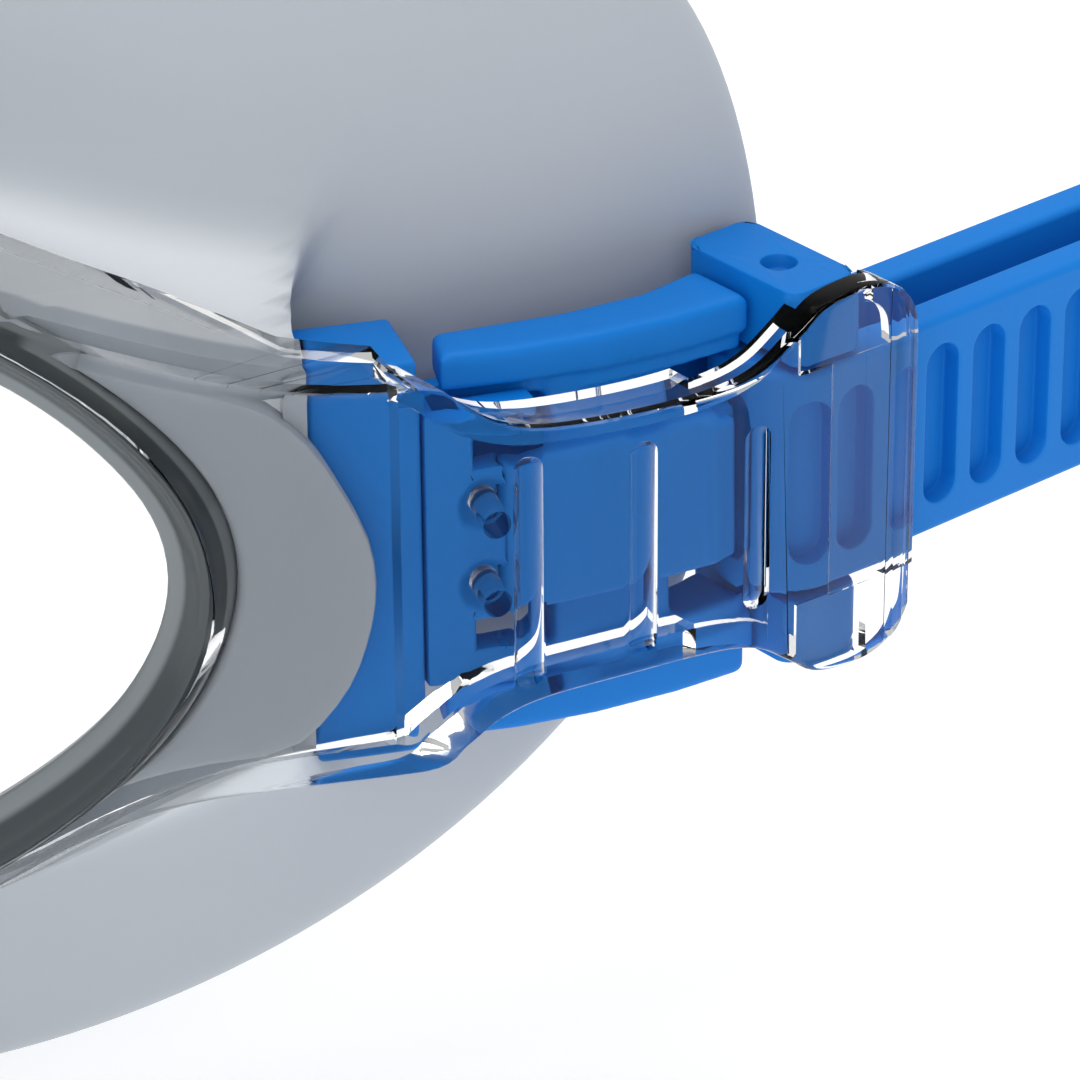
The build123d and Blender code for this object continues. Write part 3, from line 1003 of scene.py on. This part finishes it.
@dataclass
class FaceSkirt:
    """Face skirt: a pad behind the clear front, a standing wall and the wide sealing flange."""

    front_r: float = 80.42
    lip_r: float = 78.6
    flange_r: float = 70.0
    outline_r: float = 83.0
    end_phi: float = 61.75
    thickness: float = 1.4
    wall_top: Sequence[Point] = ((0, 21.8), (10, 23.8), (20, 24.9), (30, 24.2), (40, 21.1),
                                 (46, 18.3), (50, 16.4), (54, 14.5), (58, 12.9), (60.6, 11.6),
                                 (61.6, 10.2), (61.75, 7.0), (61.75, 1.0))
    wall_low: Sequence[Point] = ((61.75, 1.0), (61.75, -7.0), (61.6, -9.8), (60.4, -11.2),
                                 (57, -11.5), (54, -12.4), (51, -14.4), (48, -17.0), (44, -20.1),
                                 (38, -23.4), (30, -25.0), (23, -24.3), (17.6, -20.9),
                                 (13.3, -14.0), (8, -6.3), (4, -3.6), (0, -2.8))
    pad_top: Sequence[Point] = ((0, 21.8), (10, 23.8), (20, 24.9), (30, 24.2), (40, 21.1),
                                (46, 18.3), (50, 16.4), (54, 14.5), (57.6, 13.0), (60.0, 11.6),
                                (61.7, 9.3), (62.9, 6.5), (64.2, 2.5), (64.5, -1.0))
    pad_low: Sequence[Point] = ((64.5, -1.0), (64.1, -4.0), (63.2, -7.2), (61.4, -10.2),
                                (59.6, -11.2), (57, -11.5), (54, -12.4), (51, -14.4),
                                (48, -17.0), (44, -20.1), (38, -23.4), (30, -25.0), (23, -24.3),
                                (17.6, -20.9), (13.3, -14.0), (8, -6.3), (4, -3.6), (0, -2.8))

    def flange_edge(self, phi: float, top: bool) -> float:
        """Height of the flange's edge in one direction, in millimetres.

        Args:
            phi: degrees out from straight ahead.
            top: the upper edge, or else the lower one.

        Returns:
            The height.
        """
        share = min(1.0, phi / FLANGE_PHI)
        if top:
            return 6.0 + 36.0 * max(0.0, 1 - share ** 10) ** 0.576
        low = 6.0 - 54.3 * max(0.0, 1 - share ** 2) ** 0.56
        nose = -13.0 - 31.0 * (phi / 24.0) ** 1.6
        return (low + nose) / 2 + hypot((low - nose) / 2, 2.5)

    def flange_curve(self, top: bool) -> Curve:
        """The flange's edge from straight ahead to its temple end.

        Args:
            top: the upper edge, or else the lower one.

        Returns:
            The edge, with the lower one run from the temple back.
        """
        angles = [FLANGE_PHI * sin(pi / 2 * i / 40) for i in range(41)]
        points = [(PER_DEGREE * p, self.flange_edge(p, top)) for p in angles]
        return Curve(points if top else points[::-1], steps=3)

    def wall_and_flange(self) -> bpy.types.Object:
        """The standing wall that flares into the flange, one closed band round both eyes.

        Returns:
            The band.
        """
        tops = Curve([(PER_DEGREE * p, z) for p, z in self.wall_top])
        lows = Curve([(PER_DEGREE * p, z) for p, z in self.wall_low])
        edge_top, edge_low = self.flange_curve(True), self.flange_curve(False)
        stations = [(0.0, 79.6), (0.0, 78.0), (0.05, 76.4), (0.2, 75.0), (0.5, 73.7), (1.1, 72.4),
                    (2.0, 71.3), (3.3, 70.5), (5.2, 70.1), (8.0, 70.0)]
        steps = 10

        def foot(half: float, radius: float) -> Vector:
            """Where the wall stands at one radius: it runs straight back, up to its temple end.

            Args:
                half: 0 to 1 along the top line, then 1 to 2 along the lower one.
                radius: distance from the drum's axis.

            Returns:
                The place, laid flat.
            """
            base = tops.at(half) if half <= 1 else lows.at(half - 1)
            across = self.outline_r * sin(radians(base.x / PER_DEGREE))
            phi = min(self.end_phi, degrees(asin(min(across / radius, 0.97))))
            return Vector((PER_DEGREE * phi, base.y))

        def place(share: float, out: float) -> Vector:
            """One point: share goes round both eyes and out goes from the front to the edge.

            Args:
                share: how far round both eyes.
                out: how far from the front to the edge.

            Returns:
                The place.
            """
            turn = (share * 2) % 2
            mirror = -1 if turn > 1 else 1
            half = (2 - turn if turn > 1 else turn) * 2
            outer = edge_top.at(half) if half <= 1 else edge_low.at(half - 1)
            row = round(out * (len(stations) + steps))
            root = foot(half, self.flange_r)
            gap = outer - root
            way = gap.normalized()
            beside = min(1.0, max(0.0, (root.x / PER_DEGREE - 59.0) / 2.5))
            above = min(1.0, max(0.0, (abs(root.y) - 13.0) / 2.5))
            room = 1 - beside * (1 - above)
            if row < len(stations):
                far, radius = stations[row]
                spot = foot(half, radius) + way * min(far * room, 0.5 * gap.length)
            else:
                radius = self.flange_r
                first = min(8.0 * room, 0.5 * gap.length)
                share_out = (row - len(stations) + 1) / (steps + 1)
                spot = root + way * (first + (gap.length - first) * share_out)
            return on_drum(mirror * spot.x / PER_DEGREE, radius, spot.y)

        band = Bench.skin("skirt_band", place, 320, len(stations) + steps)
        return band

    def build(self) -> None:
        """Make the band and the pads and join them."""
        band = self.wall_and_flange()
        face = max(band.data.polygons, key=lambda f: f.center.z)
        outwards = Vector((face.center.x, face.center.y, 0)).dot(face.normal) > 0
        Bench.finish(band, "SOLIDIFY", thickness=self.thickness * MM,
                     offset=-1 if outwards else 1, use_even_offset=False)
        pads = [self.pad("skirt_pad")]
        pads.append(Bench.mirrored(pads[0], "skirt_pad_other"))
        whole = Bench.join(pads)
        Bench.edit(whole)
        bpy.ops.mesh.remove_doubles(threshold=0.00002)
        Bench.leave()
        if Bench.pick_faces(whole, lambda f: abs(f.center.x) < 2e-5 and abs(f.normal.x) > 0.9):
            bpy.ops.mesh.delete(type="FACE")
        Bench.leave()
        self.skirt = Bench.join([band, whole])
        self.skirt.name = self.skirt.data.name = "face_skirt_soft"
        Bench.smooth(self.skirt, 50)

    def pad(self, name: str) -> bpy.types.Object:
        """The pad round the left eye, from the lens opening to the outline and the middle.

        Args:
            name: the pad's name.

        Returns:
            The pad.
        """
        rim = Curve([(PER_DEGREE * p, z) for p, z in self.pad_top], steps=8)
        under = Curve([(PER_DEGREE * p, z) for p, z in self.pad_low], steps=8)
        outline = [Vector(p) for p in rim.run] + [Vector(p) for p in under.run[1:]]
        centre = Vector((PER_DEGREE * LENS_PHI, 0.0))
        section = [(0.0, 79.5), (0.0, 80.1), (0.02, 80.38), (0.06, 80.45), (0.25, 80.45),
                   (0.5, 80.45), (0.75, 80.45), (0.94, 80.45), (0.985, 80.38), (1.0, 80.15),
                   (1.0, 79.0), (0.985, 78.65), (0.94, 78.6), (0.5, 78.6), (0.06, 78.6),
                   (0.0, 78.7)]
        n = len(section)

        def ray(angle: float) -> Vector:
            """Where a line from the eye's middle meets the outline.

            Args:
                angle: direction from the eye's middle, in radians.

            Returns:
                The place, laid flat.
            """
            best = None
            way = Vector((cos(angle), sin(angle)))
            loop = outline + [outline[0]]
            for a, b in zip(loop, loop[1:]):
                side = b - a
                det = way.x * -side.y + way.y * side.x
                if abs(det) < 1e-9:
                    continue
                rel = a - centre
                t = (rel.x * -side.y + rel.y * side.x) / det
                s = (way.x * rel.y - way.y * rel.x) / det
                if t > 0 and -1e-6 <= s <= 1 + 1e-6 and (best is None or t > best):
                    best = t
            return centre + way * (best or 20.0)

        columns = 180
        rays: dict[int, tuple[Vector, Vector]] = {}
        for i in range(columns):
            hole = VIEW.at(i / columns) + VIEW.outward(i / columns) * 3.35
            start = Vector((PER_DEGREE * (LENS_PHI + degrees(asin(hole.x / 79.5))), hole.y))
            d = start - centre
            rays[i] = (start, ray(atan2(d.y, d.x)))

        def place(share: float, turn: float) -> Vector:
            """One point of the pad's closed section.

            Args:
                share: how far round the opening.
                turn: how far round the section.

            Returns:
                The place.
            """
            start, end = rays[round(share * columns) % columns]
            out, radius = section[round(turn * n) % n]
            if end.x < 0.1 and out > 0.9:
                radius = section[4][1] if radius > 79.5 else section[-2][1]
            spot = start.lerp(end, out)
            return on_drum(spot.x / PER_DEGREE, radius, spot.y)

        return Bench.skin(name, place, columns, n)

    def dress(self, palette: Palette) -> None:
        """Put the silicone on and fix the skirt."""
        palette.dress(self.skirt, palette.skirt)
        settle(self.skirt, "mask", "skirt_silicone", "face_skirt")


@dataclass
class Buckle:
    """One buckle: insert, slotted carrier with ears, pin, roller and release lever."""

    side: Side
    peg_phi: float = 69.6
    peg_z: float = 2.65
    sink: Point = (1.9, 1.0)
    carrier_edge: float = 0.22
    lever_grain: float = 0.22

    def build(self) -> None:
        """Make the blue pieces from their CAD shapes, with rounded edges and countersinks."""
        word = self.side.word
        self.insert = Bench.adopt(f"temple_insert_{word}", f"insert_block_{word}")
        Bench.round_edges(self.insert, 0.35, 3)
        Bench.smooth(self.insert)
        self.carrier = Bench.adopt(f"buckle_base_{word}", f"buckle_carrier_{word}", 0.01,
                                   whole=False)
        for level in (1, -1):
            place = on_drum(self.side.value * self.peg_phi, 78.25, level * self.peg_z)
            way = Vector((place.x, place.y, 0))
            tool = Bench.bar(place, way, self.sink[1], 1.1, self.sink[0])
            Bench.combine(self.carrier, tool)
        Bench.round_edges(self.carrier, self.carrier_edge, 2)
        Bench.smooth(self.carrier, flat_first=True)
        self.lever = Bench.adopt(f"release_lever_{word}", f"lever_wings_{word}")
        Bench.soften(self.lever, self.lever_grain, 8)

    def dress(self, palette: Palette) -> None:
        """Put the finishes on and fix each piece to its own body.

        Args:
            palette: the finishes.
        """
        word = self.side.word
        for piece in (self.insert, self.carrier, self.lever):
            palette.dress(piece, palette.buckle)
        settle(self.insert, "mask", "buckle_blue", f"temple_insert_{word}")
        settle(self.carrier, "mask", "buckle_blue", f"buckle_base_{word}")
        settle(self.lever, f"lever_{word}", "buckle_blue", f"release_lever_{word}")
        palette.dress(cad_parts[f"roller_pin_{word}"], palette.steel)
        palette.dress(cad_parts[f"strap_roller_{word}"], palette.roller)


@dataclass
class LadderStrap:
    """The ladder strap and its two keepers."""

    edge: float = 0.5
    slot_edge: float = 0.25
    pitch: float = 4.04
    first_gap: float = -1.38
    gaps: int = 11

    def build(self) -> None:
        """Make the strap and keepers with soft edges."""
        self.strap = Bench.adopt("strap", "ladder_strap", 0.01, whole=False)
        levels = [self.first_gap + self.pitch * k for k in range(self.gaps)]
        cuts = [(Vector((0, y * MM, 0)), Vector((0, 1, 0))) for y in levels]
        Bench.part_faces(self.strap, [(Vector(), Vector((0, 0, 1)))] + cuts)
        Bench.round_where(self.strap, self.edge, 3, lambda p: abs(p.z) > 7.4)
        Bench.round_where(self.strap, self.slot_edge, 2, lambda p: abs(p.z) < 5.7)
        Bench.smooth(self.strap, flat_first=True)
        self.keepers = []
        for side in Side:
            keeper = Bench.adopt(f"strap_keeper_{side.word}", f"keeper_loop_{side.word}")
            Bench.round_edges(keeper, 0.3, 2)
            Bench.smooth(keeper, flat_first=True)
            self.keepers.append((side, keeper))

    def dress(self, palette: Palette) -> None:
        """Put the finishes on and fix the pieces.

        Args:
            palette: the finishes.
        """
        palette.dress(self.strap, palette.strap)
        settle(self.strap, "mask", "strap_blue", "strap")
        for side, keeper in self.keepers:
            palette.dress(keeper, palette.keeper)
            settle(keeper, f"keeper_{side.word}", "keeper_blue", f"strap_keeper_{side.word}")


@dataclass
class Studio:
    """White floor, soft lights and the camera."""

    camera_at: tuple = (0.3076, -0.2196, 0.1644)
    azimuth: float = 49.9
    elevation: float = 28.5
    roll: float = -0.37
    lens: float = 190.5
    lights: Sequence[tuple] = field(default_factory=lambda: (
        ("top", (0.05, -0.05, 0.9), (0.0, -0.02, 0.0), 0.9, 4.8),
        ("front", (0.55, -0.75, 0.35), (0.05, -0.03, 0.0), 0.5, 1.6),
        ("left", (-0.6, -0.5, 0.5), (0.0, -0.02, 0.0), 0.5, 1.0)))

    def build(self) -> None:
        """Make the floor, the lights, the world and the camera."""
        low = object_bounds()[0]
        Bench.clear_selection()
        bpy.ops.mesh.primitive_plane_add(size=8, location=(0, 0, low.z - 0.0004))
        floor = bpy.context.active_object
        floor.name = "floor"
        bpy.ops.object.transform_apply(location=True)
        desk = Desk("floor_white")
        Palette.dress(floor, desk.close(Base_Color=(0.92, 0.92, 0.92, 1), Roughness=0.9,
                                        Emission_Color=(1, 1, 1, 1), Emission_Strength=0.28))
        floor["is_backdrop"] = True
        for name, place, aim, size, power in self.lights:
            bpy.ops.object.light_add(type="AREA", location=place)
            lamp = bpy.context.active_object
            lamp.name = f"soft_{name}"
            lamp.data.size, lamp.data.energy = size, power
            way = Vector(aim) - Vector(place)
            lamp.rotation_euler = way.to_track_quat("-Z", "Y").to_euler()
        world = bpy.context.scene.world or bpy.data.worlds.new("studio")
        bpy.context.scene.world = world
        world.use_nodes = True
        back = world.node_tree.nodes.get("Background") or world.node_tree.nodes.new(
            "ShaderNodeBackground")
        back.inputs[0].default_value = (1.0, 1.0, 1.0, 1.0)
        back.inputs[1].default_value = 0.55
        bpy.ops.object.camera_add(location=self.camera_at)
        camera = bpy.context.active_object
        camera.name = "camera"
        camera.data.lens, camera.data.sensor_width = self.lens, 36.0
        camera.data.clip_start, camera.data.clip_end = 0.01, 20.0
        turn = (Matrix.Rotation(radians(self.azimuth), 4, "Z")
                @ Matrix.Rotation(radians(90 - self.elevation), 4, "X")
                @ Matrix.Rotation(radians(self.roll), 4, "Z"))
        camera.rotation_euler = turn.to_euler()
        bpy.context.scene.camera = camera
        bpy.context.scene.view_settings.view_transform = "Standard"


def main() -> None:
    """Build and dress each sub-assembly, then the studio."""
    logging.basicConfig(level=logging.INFO, format="%(message)s")
    palette = Palette()
    parts = [ClearFront(), LensGasket(), FaceSkirt(), Buckle(Side.LEFT), Buckle(Side.RIGHT),
             LadderStrap()]
    for part in parts:
        part.build()
        part.dress(palette)
        log.info("built %s", type(part).__name__)
    Studio().build()


if __name__ == "__main__":
    main()
